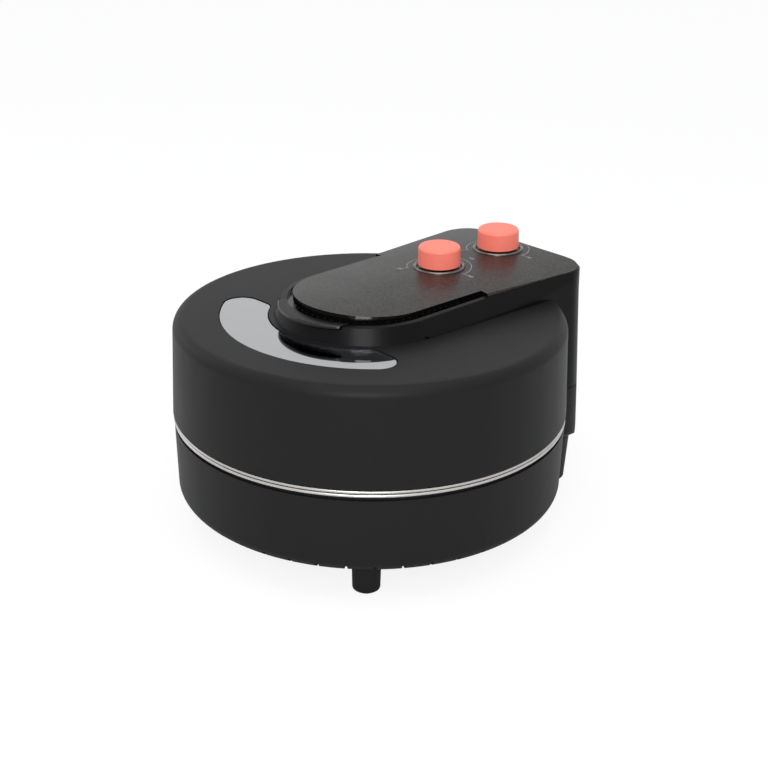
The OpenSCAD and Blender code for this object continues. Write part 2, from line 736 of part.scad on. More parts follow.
module control_panel() {
    inset = panel_r - nose_r;
    color(satin_grey) on_top() difference() {
        intersection() {
            translate([0, -120, crown_h - crown_r]) rotate([-90, 0, 0])
                cylinder(h = 400, r = crown_r, $fn = 720);
            union() {
                difference() {
                    top_stage(-groove_depth, inset, 12, inset);
                    behind_groove(-0.2);
                }
                intersection() {
                    rotate([rim_tilt, 0, 0]) wide_part();
                    behind_groove(-0.3);
                }
            }
        }
        top_stage(-10, inset - panel_skin, crown_h - 3 - panel_skin, inset - panel_skin);
        vent_holes();
        for (y = [temperature_y, timer_y]) at_knob(y) {
            translate([0, 0, crown_h - 1]) cylinder(h = 5, r = bezel_r + 0.05);
            translate([0, 0, -10]) cylinder(h = 30, r = 5.3, $fn = 48);
        }
    }
}

// A crescent lip at the nose, to lift the lid by.
module lid_handle() {
    color(satin_grey) on_top() lip();
}

module lid_hinge_bracket() {
    leaf_y = pin_y - knuckle_r;
    top_z = lid_top_z + 0.2;
    color(steel) on_axis() difference() {
        union() {
            knuckles(lid_spans, pin_r + pin_fit);
            for (span = lid_spans) {
                translate([span[0], leaf_y, split_z + 1])
                    cube([span[1] - span[0], 2.5, top_z - split_z + 1.5]);
                translate([span[0], 105, top_z]) cube([span[1] - span[0], leaf_y - 105 + 1, 2.5]);
            }
        }
        hinge_screw_places() cylinder(h = 10, r = screw_r + 0.05, $fn = 24);
    }
}

module hinge_screw_places() {
    for (x = [-screw_x, screw_x]) for (y = screw_rows) translate([x, y, lid_top_z + 2.7])
        mirror([0, 0, 1]) children();
}

module hinge_screws() {
    color(steel) on_axis() hinge_screw_places() pan_screw(5);
}

module bezel(y) {
    color([0.8, 0.78, 0.76]) on_top() at_knob(y) rotate_extrude($fn = 96)
        polygon([[21.2, crown_h - 1], [bezel_r, crown_h - 1], [bezel_r, crown_h + 0.6],
            [bezel_r - 0.9, crown_h + 1.5], [bezel_r - 1.7, crown_h + 1.5], [21.2, crown_h + 0.4]]);
}

module temperature_bezel() { bezel(temperature_y); }

module timer_bezel() { bezel(timer_y); }

// A switch unit under the panel: a case, a threaded neck and a bore for the shaft.
module switch_unit(y, half_w, case_h) {
    top = crown_h - 3 - panel_skin - 0.1;
    on_top() at_knob(y) difference() {
        union() {
            translate([-half_w, -half_w, top - case_h]) cube([half_w * 2, half_w * 2, case_h]);
            translate([0, 0, top - 1]) cylinder(h = crown_h - 0.4 - top + 1, r = 5.1, $fn = 48);
            for (side = [-1, 1]) translate([side * (half_w + 3) - 3, -4, top - case_h + 3]) cube([6, 8, 1.2]);
        }
        translate([0, 0, top - case_h + 4]) cylinder(h = 40, r = shaft_r + shaft_fit, $fn = 48);
    }
}

module thermostat() { color([0.82, 0.8, 0.74]) switch_unit(temperature_y, 16, 14.5); }

module timer_unit() { color([0.3, 0.3, 0.32]) switch_unit(timer_y, 17, 15.5); }

module shaft(y, case_h) {
    low = crown_h - 3 - panel_skin - 0.1 - case_h + 4.3;
    color(steel) on_top() at_knob(y) translate([0, 0, low])
        cylinder(h = knob_low_z + 11 - low, r = shaft_r, $fn = 48);
}

module temperature_shaft() { shaft(temperature_y, 14.5); }

module timer_shaft() { shaft(timer_y, 15.5); }

module knob(y) {
    skin = 2.4;
    edge = 2.6;
    draft = 0.5;
    top = knob_low_z + knob_h;
    color(coral) on_top() at_knob(y) rotate_extrude($fn = 128) difference() {
        union() {
            polygon([[0, knob_low_z], [knob_r, knob_low_z], [knob_r - draft, top - edge],
                [knob_r - draft - edge, top - 0.3], [0, top]]);
            translate([knob_r - draft - edge, top - edge - 0.25]) circle(edge, $fn = 48);
        }
        difference() {
            translate([-1, knob_low_z - 1]) square([knob_r - draft - skin + 1, knob_h - skin]);
            translate([shaft_r, knob_low_z]) square([4, knob_h]);
        }
        translate([-1, knob_low_z - 1]) square([shaft_r + 1, 12]);
        translate([-knob_r, 0]) square([knob_r, 60]);
    }
}

module temperature_knob() { knob(temperature_y); }

module timer_knob() { knob(timer_y); }

base_shell();
bottom_plate();
bottom_screws();
feet();
foot_pads();
rim_gasket();
base_liner();
lower_element();
lower_element_clips();
pizza_stone();
hinge_housing();
rear_stand();
base_hinge_bracket();
hinge_pin();
terminal_block();
cord_gland();
lid_shell();
lid_liner();
upper_element();
upper_element_clips();
thermostat_probe();
window_frame();
window_glass();
inner_glass();
arm_housing();
control_panel();
lid_handle();
lid_hinge_bracket();
hinge_screws();
temperature_bezel();
timer_bezel();
thermostat();
timer_unit();
temperature_knob();
temperature_shaft();
timer_knob();
timer_shaft();
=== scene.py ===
import bpy, bmesh, json, math
from mathutils import Vector, Matrix

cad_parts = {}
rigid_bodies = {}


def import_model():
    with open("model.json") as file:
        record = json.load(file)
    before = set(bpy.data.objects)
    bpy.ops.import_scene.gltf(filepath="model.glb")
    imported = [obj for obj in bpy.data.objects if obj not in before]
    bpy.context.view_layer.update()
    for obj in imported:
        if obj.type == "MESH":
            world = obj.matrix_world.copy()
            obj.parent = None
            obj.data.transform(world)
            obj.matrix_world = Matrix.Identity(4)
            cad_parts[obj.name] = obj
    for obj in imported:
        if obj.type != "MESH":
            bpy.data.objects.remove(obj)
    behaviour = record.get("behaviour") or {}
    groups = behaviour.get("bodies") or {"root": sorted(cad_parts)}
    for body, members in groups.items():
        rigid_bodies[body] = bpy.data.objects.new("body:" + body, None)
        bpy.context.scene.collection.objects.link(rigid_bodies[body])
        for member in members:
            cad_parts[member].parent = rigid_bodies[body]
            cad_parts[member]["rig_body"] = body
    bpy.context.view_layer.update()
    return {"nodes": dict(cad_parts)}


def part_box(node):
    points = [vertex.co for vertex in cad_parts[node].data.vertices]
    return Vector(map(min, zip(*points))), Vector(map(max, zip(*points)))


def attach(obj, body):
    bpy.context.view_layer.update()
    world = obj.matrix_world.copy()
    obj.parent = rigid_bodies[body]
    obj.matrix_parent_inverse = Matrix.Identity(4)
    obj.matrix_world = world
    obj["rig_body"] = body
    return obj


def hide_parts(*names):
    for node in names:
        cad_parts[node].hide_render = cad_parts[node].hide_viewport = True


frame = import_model()
nodes = frame["nodes"]
print("frame loaded:", len(nodes), "nodes")


def mm(v):
    return v / 1000.0


def srgb(r, g, b):
    # 0-255 display colour to linear
    def one(c):
        c = c / 255.0
        return c / 12.92 if c <= 0.04045 else ((c + 0.055) / 1.055) ** 2.4
    return (one(r), one(g), one(b), 1.0)


def deselectAll():
    for o in bpy.context.scene.objects:
        o.select_set(False)
    bpy.context.view_layer.objects.active = None


def editAll():
    bpy.ops.object.mode_set(mode="EDIT")
    bpy.ops.mesh.select_all(action="SELECT")


def turnOutwards():
    # the last step in edit mode
    bpy.ops.mesh.select_all(action="SELECT")
    bpy.ops.mesh.normals_make_consistent(inside=False)
    bpy.ops.object.mode_set(mode="OBJECT")


def breakEdges(piece, width, segments, sharp):
    # bevels the edges that turn by more than the sharp angle
    bevel = piece.modifiers.new("edgeBreak", "BEVEL")
    bevel.width = mm(width)
    bevel.segments = segments
    bevel.limit_method = "ANGLE"
    bevel.angle_limit = math.radians(sharp)
    bpy.ops.object.modifier_apply(modifier=bevel.name)


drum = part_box("lid_shell")
axisY = (drum[0].y + drum[1].y) / 2
lidTop = drum[1].z

# the arm's top, which the panel, the knobs and the prints share: mm from the drum's axis and the table
armTop = {"noseY": -5.5, "rimZ": 212.3, "tilt": 1.0, "temperature": 84.8, "timer": 163.2}
onTop = (Matrix.Translation((0, axisY + mm(armTop["noseY"]), mm(armTop["rimZ"])))
         @ Matrix.Rotation(math.radians(armTop["tilt"]), 4, "X"))
knobs = {name: mm(armTop[name] - armTop["noseY"]) for name in ("temperature", "timer")}    # from the nose

# the photo's viewpoint: place, near and far in metres, the roll in degrees, lens and sensor in mm
view = {"place": (0.9145, -0.8146 + axisY, 0.6490), "towards": (-0.68024, 0.61875, -0.39298),
        "roll": 0.70, "lens": 67.97, "sensor": 36.0, "near": 0.05, "far": 50}
camera = bpy.data.objects.new("photoCamera", bpy.data.cameras.new("photoCamera"))
bpy.context.scene.collection.objects.link(camera)
camera.data.sensor_width = view["sensor"]
camera.data.lens = view["lens"]
camera.data.clip_start = view["near"]
camera.data.clip_end = view["far"]
camera.rotation_mode = "QUATERNION"
look = Vector(view["towards"]).to_track_quat("-Z", "Y").to_matrix().to_4x4()
look = look @ Matrix.Rotation(math.radians(view["roll"]), 4, "Z")
camera.location = view["place"]
camera.rotation_quaternion = look.to_quaternion()
bpy.context.scene.camera = camera
print("camera placed")


def feed(link, node, inputs):
    # an input gets a plain value, or a link where an output is given
    for key, v in inputs.items():
        if isinstance(v, bpy.types.NodeSocket):
            link(v, node.inputs[key])
        else:
            node.inputs[key].default_value = v


def addNode(g, link, kind, inputs):
    n = g.new("ShaderNode" + kind)
    feed(link, n, inputs)
    return n


def mathNode(g, link, operation, *values, clamp=False):
    n = g.new("ShaderNodeMath")
    n.operation = operation
    n.use_clamp = clamp
    feed(link, n, dict(enumerate(values)))
    return n.outputs[0]


def scaledColour(g, link, colour, level):
    n = g.new("ShaderNodeVectorMath")
    n.operation = "SCALE"
    feed(link, n, {0: colour, "Scale": level})
    return n.outputs[0]


def objectPlace(g):
    return g.new("ShaderNodeTexCoord").outputs["Object"]


def addRamp(g, link, value, *stops):
    n = addNode(g, link, "ValToRGB", {"Fac": value})
    for element, (position, colour) in zip(n.color_ramp.elements, stops):
        element.position = position
        element.color = colour
    return n.outputs["Color"]


def newGroup(name, inputs):
    # a group that takes the given inputs and puts out a colour, a roughness and a normal
    group = bpy.data.node_groups.new(name, "ShaderNodeTree")
    for label, usual in inputs.items():
        kind = "NodeSocketColor" if isinstance(usual, tuple) else "NodeSocketFloat"
        socket = group.interface.new_socket(label, in_out="INPUT", socket_type=kind)
        socket.default_value = usual
    for label, kind in (("Colour", "Color"), ("Roughness", "Float"), ("Normal", "Vector")):
        group.interface.new_socket(label, in_out="OUTPUT", socket_type="NodeSocket" + kind)
    g = group.nodes
    return group, g, group.links.new, g.new("NodeGroupInput"), g.new("NodeGroupOutput")


noiseMiddle = 0.5        # the middle of a noise texture's range

# scales are in cells per metre, bumps in metres; tint and rough say how far a pattern moves each value
grain = {"driftScale": 9.0, "driftDetail": 3.0, "grainDetail": 2.0, "grainTint": 0.25,
         "driftRough": 0.12, "grainRough": 0.06, "bump": 0.0002}


def mouldGrain():
    # fine moulded grain and a slow drift of the colour
    group, g, link, gin, gout = newGroup("mouldGrain", {
        "Colour": (0.03, 0.03, 0.03, 1), "Grain Size": 1400.0, "Grain Height": 0.05, "Drift": 0.1,
        "Roughness": 0.45})
    place = objectPlace(g)
    broad = addNode(g, link, "TexNoise", {"Vector": place, "Scale": grain["driftScale"],
                                          "Detail": grain["driftDetail"]})
    fine = addNode(g, link, "TexNoise", {"Vector": place, "Scale": gin.outputs["Grain Size"],
                                         "Detail": grain["grainDetail"]})
    driftShift = mathNode(g, link, "SUBTRACT", broad.outputs["Fac"], noiseMiddle)
    grainShift = mathNode(g, link, "SUBTRACT", fine.outputs["Fac"], noiseMiddle)
    level = mathNode(g, link, "MULTIPLY_ADD", driftShift, gin.outputs["Drift"], 1.0)
    level = mathNode(g, link, "MULTIPLY_ADD", grainShift, grain["grainTint"], level)
    rough = mathNode(g, link, "MULTIPLY_ADD", driftShift, grain["driftRough"], gin.outputs["Roughness"])
    rough = mathNode(g, link, "MULTIPLY_ADD", grainShift, grain["grainRough"], rough)
    bump = addNode(g, link, "Bump", {"Strength": gin.outputs["Grain Height"], "Distance": grain["bump"],
                                     "Height": fine.outputs["Fac"]})
    feed(link, gout, {"Colour": scaledColour(g, link, gin.outputs["Colour"], level), "Roughness": rough,
                      "Normal": bump.outputs["Normal"]})
    return group


brushing = {"lineScale": 2600.0, "lineDetail": 1.0, "smudgeScale": 22.0, "smudgeDetail": 4.0,
            "lineTint": 0.3, "lineRough": 0.15, "bump": 0.0001}


def brushedMetal():
    # brushing that runs round the drum's axis, with faint smudges
    group, g, link, gin, gout = newGroup("brushedMetal", {
        "Colour": (0.6, 0.6, 0.6, 1), "Roughness": 0.3, "Brush Height": 0.1, "Smudge": 0.12})
    place = objectPlace(g)
    centred = addNode(g, link, "Mapping", {"Vector": place, "Location": (0, -axisY, 0)})
    axes = addNode(g, link, "SeparateXYZ", {0: centred.outputs[0]}).outputs
    squares = mathNode(g, link, "MULTIPLY", axes["X"], axes["X"])
    squares = mathNode(g, link, "MULTIPLY_ADD", axes["Y"], axes["Y"], squares)
    radius = mathNode(g, link, "SQRT", squares)
    ring = addNode(g, link, "CombineXYZ", {"X": radius, "Y": axes["Z"]})
    lines = addNode(g, link, "TexNoise", {"Vector": ring.outputs[0], "Scale": brushing["lineScale"],
                                          "Detail": brushing["lineDetail"]})
    smudge = addNode(g, link, "TexNoise", {"Vector": place, "Scale": brushing["smudgeScale"],
                                           "Detail": brushing["smudgeDetail"]})
    lineShift = mathNode(g, link, "SUBTRACT", lines.outputs["Fac"], noiseMiddle)
    smudgeShift = mathNode(g, link, "SUBTRACT", smudge.outputs["Fac"], noiseMiddle)
    level = mathNode(g, link, "MULTIPLY_ADD", lineShift, brushing["lineTint"], 1.0)
    level = mathNode(g, link, "MULTIPLY_ADD", smudgeShift, gin.outputs["Smudge"], level)
    rough = mathNode(g, link, "MULTIPLY_ADD", smudgeShift, gin.outputs["Smudge"], gin.outputs["Roughness"])
    rough = mathNode(g, link, "MULTIPLY_ADD", lineShift, brushing["lineRough"], rough)
    bump = addNode(g, link, "Bump", {"Strength": gin.outputs["Brush Height"], "Distance": brushing["bump"],
                                     "Height": lines.outputs["Fac"]})
    feed(link, gout, {"Colour": scaledColour(g, link, gin.outputs["Colour"], level), "Roughness": rough,
                      "Normal": bump.outputs["Normal"]})
    return group


def newMaterial(name):
    m = bpy.data.materials.new(name)
    m.use_nodes = True
    t = m.node_tree
    return m, t.nodes, t.links.new, t.nodes["Principled BSDF"]


def groupMaterial(name, group, metallic, values):
    # a value goes to the group's input of its name, or else to the shader itself
    m, g, link, shader = newMaterial(name)
    n = g.new("ShaderNodeGroup")
    n.node_tree = group
    for key, v in values.items():
        feed(link, n if key in n.inputs else shader, {key: v})
    feed(link, shader, {"Base Color": n.outputs["Colour"], "Roughness": n.outputs["Roughness"],
                        "Normal": n.outputs["Normal"], "Metallic": metallic})
    return m


def paint(material, *pieces):
    for piece in pieces:
        piece.data.materials.clear()
        piece.data.materials.append(material)


# each finish: the nodes it is on, and its values where they differ from the group's and the shader's own
plastics = {
    "casingPlastic": (["lid_shell"], {
        "Colour": srgb(25, 25, 26), "Roughness": 0.46, "Grain Height": 0.28, "Grain Size": 850.0,
        "Drift": 0.16, "Specular IOR Level": 0.16}),
    "basePlastic": (["base_shell", "feet", "hinge_housing", "rear_stand"], {
        "Colour": srgb(25, 25, 26), "Roughness": 0.48, "Grain Height": 0.28, "Grain Size": 850.0,
        "Drift": 0.16, "Specular IOR Level": 0.16}),
    "armPlastic": (["arm_housing"], {
        "Colour": srgb(7, 7, 9), "Roughness": 0.32, "Grain Height": 0.06, "Grain Size": 1200.0,
        "Drift": 0.08, "Specular IOR Level": 0.12}),
    "grooveGloss": ([], {
        "Colour": srgb(10, 10, 11), "Roughness": 0.12, "Grain Height": 0.02, "Grain Size": 1500.0,
        "Drift": 0.08}),
    "lipPlastic": (["lid_handle"], {
        "Colour": srgb(14, 14, 15), "Roughness": 0.24, "Grain Height": 0.03, "Grain Size": 1500.0,
        "Drift": 0.08, "Specular IOR Level": 0.14}),
    "framePlastic": (["window_frame"], {"Colour": srgb(16, 16, 17), "Roughness": 0.5}),
    "softRubber": (["rim_gasket", "foot_pads", "cord_gland"], {
        "Colour": srgb(18, 18, 18), "Roughness": 0.7, "Grain Height": 0.2, "Grain Size": 900.0,
        "Specular IOR Level": 0.3}),
    "switchCase": (["thermostat", "terminal_block"], {"Colour": srgb(214, 208, 190), "Roughness": 0.5}),
    "timerCase": (["timer_unit"], {"Colour": srgb(60, 60, 64), "Roughness": 0.45}),
    "knobPlastic": (["temperature_knob", "timer_knob"], {
        "Colour": srgb(255, 131, 113), "Roughness": 0.42, "Grain Height": 0.03, "Grain Size": 1800.0,
        "Drift": 0.02}),
    "printInk": ([], {
        "Colour": srgb(178, 177, 175), "Roughness": 0.5, "Grain Height": 0.02, "Grain Size": 2500.0,
        "Drift": 0.2}),
}
metals = {
    "linerSteel": (["base_liner", "lid_liner"], {
        "Colour": srgb(204, 202, 199), "Roughness": 0.28, "Brush Height": 0.15}),
    "platedSteel": (["bottom_plate", "lower_element_clips", "upper_element_clips", "thermostat_probe",
                     "base_hinge_bracket", "lid_hinge_bracket"], {
        "Colour": srgb(170, 170, 168), "Roughness": 0.42, "Brush Height": 0.08, "Smudge": 0.2}),
    "brightSteel": (["bottom_screws", "hinge_screws", "hinge_pin", "temperature_shaft", "timer_shaft"], {
        "Colour": srgb(200, 200, 200), "Roughness": 0.25, "Brush Height": 0.05}),
    "heaterSheath": (["lower_element", "upper_element"], {
        "Colour": srgb(84, 78, 74), "Roughness": 0.5, "Brush Height": 0.05, "Smudge": 0.5}),
    "bezelChrome": (["temperature_bezel", "timer_bezel"], {
        "Colour": srgb(118, 110, 107), "Roughness": 0.17, "Brush Height": 0.02, "Smudge": 0.05}),
}
materials = {}
for group, metallic, finishes in ((mouldGrain(), 0.0, plastics), (brushedMetal(), 1.0, metals)):
    for name, (wearers, values) in finishes.items():
        materials[name] = groupMaterial(name, group, metallic, values)
        paint(materials[name], *[nodes[n] for n in wearers])

panelCoat = {"flakeScale": 1150.0, "driftScale": 14.0, "dark": (0.2, srgb(17, 16, 16)),
             "bright": (0.95, srgb(70, 67, 64)), "rough": 0.28, "roughDrift": 0.12,
             "bumpStrength": 0.16, "bump": 0.0002, "metallic": 0.32, "specular": 0.32}


def panelMaterial():
    # satin coating with fine metal flake: small cells that catch the light one by one
    m, g, link, shader = newMaterial("panelSatin")
    place = objectPlace(g)
    flakes = addNode(g, link, "TexVoronoi", {"Vector": place, "Scale": panelCoat["flakeScale"]})
    drift = addNode(g, link, "TexNoise", {"Vector": place, "Scale": panelCoat["driftScale"]})
    colour = addRamp(g, link, flakes.outputs["Color"], panelCoat["dark"], panelCoat["bright"])
    rough = mathNode(g, link, "MULTIPLY_ADD", drift.outputs["Fac"], panelCoat["roughDrift"],
                     panelCoat["rough"])
    bump = addNode(g, link, "Bump", {"Strength": panelCoat["bumpStrength"], "Distance": panelCoat["bump"],
                                     "Height": flakes.outputs["Distance"]})
    feed(link, shader, {"Base Color": colour, "Roughness": rough, "Normal": bump.outputs["Normal"],
                        "Metallic": panelCoat["metallic"], "Specular IOR Level": panelCoat["specular"]})
    return m


clay = {"broadScale": 18.0, "broadDetail": 6.0, "speckScale": 420.0, "speckShare": 0.5,
        "dark": (0.0, srgb(176, 152, 120)), "bright": (1.0, srgb(216, 196, 164)), "rough": 0.9,
        "specular": 0.2, "bumpStrength": 0.4, "bump": 0.0005}


def stoneMaterial():
    # fired clay: broad warm patches with fine specks and pores
    m, g, link, shader = newMaterial("firedStone")
    place = objectPlace(g)
    broad = addNode(g, link, "TexNoise", {"Vector": place, "Scale": clay["broadScale"],
                                          "Detail": clay["broadDetail"]})
    specks = addNode(g, link, "TexVoronoi", {"Vector": place, "Scale": clay["speckScale"]})
    mixed = mathNode(g, link, "MULTIPLY_ADD", specks.outputs["Distance"], clay["speckShare"],
                     broad.outputs["Fac"])
    bump = addNode(g, link, "Bump", {"Strength": clay["bumpStrength"], "Distance": clay["bump"],
                                     "Height": mixed})
    feed(link, shader, {"Base Color": addRamp(g, link, mixed, clay["dark"], clay["bright"]),
                        "Roughness": clay["rough"], "Specular IOR Level": clay["specular"],
                        "Normal": bump.outputs["Normal"]})
    return m


smokedGlass = {"filmScale": 30.0, "filmRough": 0.03, "colour": srgb(196, 197, 200), "metallic": 0.75,
               "transmission": 1.0, "ior": 1.5, "coat": 0.6, "coatRough": 0.02}


def glassMaterial():
    # tinted glass that mirrors the room and shows a little of the chamber under it
    m, g, link, shader = newMaterial("smokedGlass")
    film = addNode(g, link, "TexNoise", {"Vector": objectPlace(g), "Scale": smokedGlass["filmScale"]})
    rough = mathNode(g, link, "MULTIPLY", film.outputs["Fac"], smokedGlass["filmRough"])
    feed(link, shader, {"Base Color": smokedGlass["colour"], "Roughness": rough,
                        "Metallic": smokedGlass["metallic"], "IOR": smokedGlass["ior"],
                        "Transmission Weight": smokedGlass["transmission"],
                        "Coat Weight": smokedGlass["coat"], "Coat Roughness": smokedGlass["coatRough"]})
    return m


windowGlass = glassMaterial()
paint(panelMaterial(), nodes["control_panel"])
paint(stoneMaterial(), nodes["pizza_stone"])
paint(windowGlass, nodes["window_glass"], nodes["inner_glass"])
print("finishes placed")

# faces that lie level within flat degrees become one; evenWeight lets the large faces set the shading
softening = {"merge": 0.004, "flat": 1.0, "evenWeight": 100}
soft = {
    # node: (width of the broken edge in mm, 0 for none; its segments; the angle of a sharp edge)
    "arm_housing": (0.35, 2, 32.0), "control_panel": (0.35, 2, 32.0), "lid_handle": (1.1, 4, 40.0),
    "hinge_housing": (0.5, 2, 32.0), "rear_stand": (0.5, 2, 32.0), "lid_shell": (0.4, 2, 40.0),
    "temperature_bezel": (0.2, 2, 20.0), "timer_bezel": (0.2, 2, 20.0),
    "temperature_knob": (0, 2, 50.0), "timer_knob": (0, 2, 50.0), "base_shell": (0.3, 2, 40.0),
    "feet": (0.3, 2, 40.0), "base_liner": (0, 2, 50.0), "lid_liner": (0, 2, 50.0),
    "window_frame": (0.3, 2, 40.0), "pizza_stone": (0.6, 3, 40.0),
}


def softened(node, width, segments, sharp):
    # a merged copy of the node's own mesh, with its sharp edges broken and its faces evenly shaded
    source = nodes[node]
    deselectAll()
    mesh = source.data.copy()
    mesh.name = node + "Soft"
    piece = bpy.data.objects.new(node + "Soft", mesh)
    bpy.context.scene.collection.objects.link(piece)
    bpy.context.view_layer.objects.active = piece
    piece.select_set(True)
    if mesh.has_custom_normals:
        bpy.ops.mesh.customdata_custom_splitnormals_clear()
    editAll()
    bpy.ops.mesh.remove_doubles(threshold=mm(softening["merge"]))
    bpy.ops.mesh.dissolve_limited(angle_limit=math.radians(softening["flat"]))
    bpy.ops.object.mode_set(mode="OBJECT")
    if width:
        breakEdges(piece, width, segments, sharp)
    bpy.ops.object.shade_smooth_by_angle(angle=math.radians(sharp))
    even = piece.modifiers.new("evenShade", "WEIGHTED_NORMAL")
    even.weight = softening["evenWeight"]
    even.keep_sharp = True
    bpy.ops.object.modifier_apply(modifier=even.name)
    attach(piece, source["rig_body"])
    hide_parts(node)
    return piece


softPieces = {}
for node, (width, segments, sharp) in soft.items():
    softPieces[node] = softened(node, width, segments, sharp)
    print("softened", node, len(softPieces[node].data.polygons), "faces")

# the window's pane, almost flush in the lid's opening: arcs in mm about the drum's axis, angles in degrees
windowPane = {"frontRadius": 136.0, "cornerX": 92.5, "cornerRadius": 17.0, "innerY": -68.5,
              "innerRadius": 11.0, "armY": -5.5, "armRadius": 87.3, "gap": 0.8, "below": 0.7,
              "thick": 4.6, "edge": 0.25, "edgeSegments": 2, "edgeAngle": 60, "smoothAngle": 12,
              "frontSteps": 60, "cornerSteps": 28, "innerSteps": 14, "armSteps": 50}


def arcPoints(x, y, r, start, end, steps):
    angles = [math.radians(start + (end - start) * i / steps) for i in range(steps)]
    return [(x + r * math.cos(a), y + r * math.sin(a)) for a in angles]


def paneOutline():
    # the right half, from the front round the outer and the inner corner to the arm, then its mirror image
    w, gap = windowPane, windowPane["gap"]
    cx = w["cornerX"]        # the outer corner's centre, and the inner one's
    cy = -math.sqrt((w["frontRadius"] - w["cornerRadius"]) ** 2 - cx ** 2)
    iy = w["innerY"]
    ix = math.sqrt((w["armRadius"] + w["innerRadius"]) ** 2 - (iy - w["armY"]) ** 2)
    dx, dy = ix - cx, iy - cy
    # the directions in which the arcs end: at the straight side, at the front and at the arm
    touch = math.degrees(math.atan2(dy, dx) - math.acos((w["cornerRadius"] - w["innerRadius"])
                                                        / math.hypot(dx, dy)))
    out = math.degrees(math.atan2(cy, cx))
    turn = math.degrees(math.atan2(w["armY"] - iy, -ix))
    near = math.degrees(math.atan2(iy - w["armY"], ix))
    half = arcPoints(0, 0, w["frontRadius"] - gap, -90, out, w["frontSteps"])
    half += arcPoints(cx, cy, w["cornerRadius"] - gap, out, touch, w["cornerSteps"])
    half += arcPoints(ix, iy, w["innerRadius"] - gap, touch, turn, w["innerSteps"])
    half += arcPoints(0, w["armY"], w["armRadius"] + gap, near, -90, w["armSteps"])
    half.append((0, w["armY"] - w["armRadius"] - gap))
    return half + [(-x, y) for x, y in reversed(half[1:-1])]


outline = paneOutline()
deselectAll()
bpy.ops.mesh.primitive_circle_add(vertices=len(outline), radius=mm(windowPane["frontRadius"]),
                                  fill_type="NGON")
pane = bpy.context.active_object
pane.name = "windowPane"
paneTop = lidTop - mm(windowPane["below"])
for v, (x, y) in zip(pane.data.vertices, outline):
    v.co = (mm(x), axisY + mm(y), paneTop - mm(windowPane["thick"]))
editAll()
bpy.ops.mesh.extrude_region_move(TRANSFORM_OT_translate={"value": (0, 0, mm(windowPane["thick"]))})
turnOutwards()
breakEdges(pane, windowPane["edge"], windowPane["edgeSegments"], windowPane["edgeAngle"])
bpy.ops.object.shade_smooth_by_angle(angle=math.radians(windowPane["smoothAngle"]))
paint(windowGlass, pane)
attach(pane, "lid")
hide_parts("window_glass")
print("window pane placed", len(pane.data.polygons), "faces")

# the gloss groove round the panel's front, on the arm's top: it ends so many mm from the nose, and a face
# is in it by its reach from the arm's middle in mm, its height in mm and how far up it looks
anyValue = (-math.inf, math.inf)
groove = {
    "end": 78.5,
    "faces": {"arm_housing": {"reach": (-math.inf, 71.4), "height": (-6.7, -0.1)},
              "control_panel": {"reach": (64.5, math.inf), "upward": (-math.inf, 0.6)},
              "lid_handle": {"upward": (-math.inf, 0.93)}},
}


def glossInGroove(piece, reach=anyValue, height=anyValue, upward=anyValue):
    piece.data.materials.append(materials["grooveGloss"])
    back = onTop.inverted()
    turn = back.to_3x3()
    count = 0
    for f in piece.data.polygons:
        c = back @ f.center * 1000
        found = (math.hypot(c.x, min(c.y, 0.0)), c.z, (turn @ f.normal).z)
        inside = all(low < v < high for v, (low, high) in zip(found, (reach, height, upward)))
        if c.y < groove["end"] and inside:
            f.material_index = 1
            count += 1
    print("gloss in the groove of", piece.name, count, "faces")


for node, limits in groove["faces"].items():
    glossInGroove(softPieces[node], **limits)

# the prints round the knobs: mm and degrees; each is laid on the panel from above it
prints = {"arcRadius": 30.3, "arcWidth": 0.45, "arcSteps": 180, "from": 4.5, "to": 238.0,
          "tickIn": 28.0, "tickOut": 41.0, "tickCuts": 6, "numberRadius": 37.6, "numberSize": 4.2,
          "lift": 0.05, "above": 15.0, "leastUpward": 0.5}
dialNumbers = {"temperature": ("100", "200", "300", "400"), "timer": ("0", "10", "20", "30")}


def onPanel(piece):
    # lays a flat print on the panel, point by point; says whether all of it found the panel
    bpy.context.view_layer.update()
    down = -(onTop.to_3x3() @ Vector((0, 0, 1)))
    found = True
    for v in piece.data.vertices:
        start = onTop @ Vector((v.co.x, v.co.y, mm(prints["above"])))
        hit, spot, normal = softPieces["control_panel"].ray_cast(start, down)[:3]
        found = found and hit and normal.z > prints["leastUpward"]
        v.co = spot - down * mm(prints["lift"])
    piece.data.update()
    return found


def addArc(name, y):
    deselectAll()
    bpy.ops.mesh.primitive_circle_add(vertices=prints["arcSteps"], radius=mm(prints["arcRadius"]),
                                      location=(0, 0, 0))
    piece = bpy.context.active_object
    piece.name = name
    editAll()
    bpy.ops.mesh.extrude_edges_move()
    bpy.ops.transform.resize(value=[1 - prints["arcWidth"] / prints["arcRadius"]] * 3)
    bm = bmesh.from_edit_mesh(piece.data)
    gone = []
    for f in bm.faces:
        c = f.calc_center_median()
        a = math.degrees(math.atan2(c.y, c.x)) % 360
        if not prints["from"] <= a <= prints["to"]:
            gone.append(f)
    bmesh.ops.delete(bm, geom=gone, context="FACES")
    bmesh.update_edit_mesh(piece.data)
    turnOutwards()
    if sum(f.normal.z for f in piece.data.polygons) < 0:
        piece.data.flip_normals()
    piece.data.transform(Matrix.Translation((0, y, 0)))
    return piece


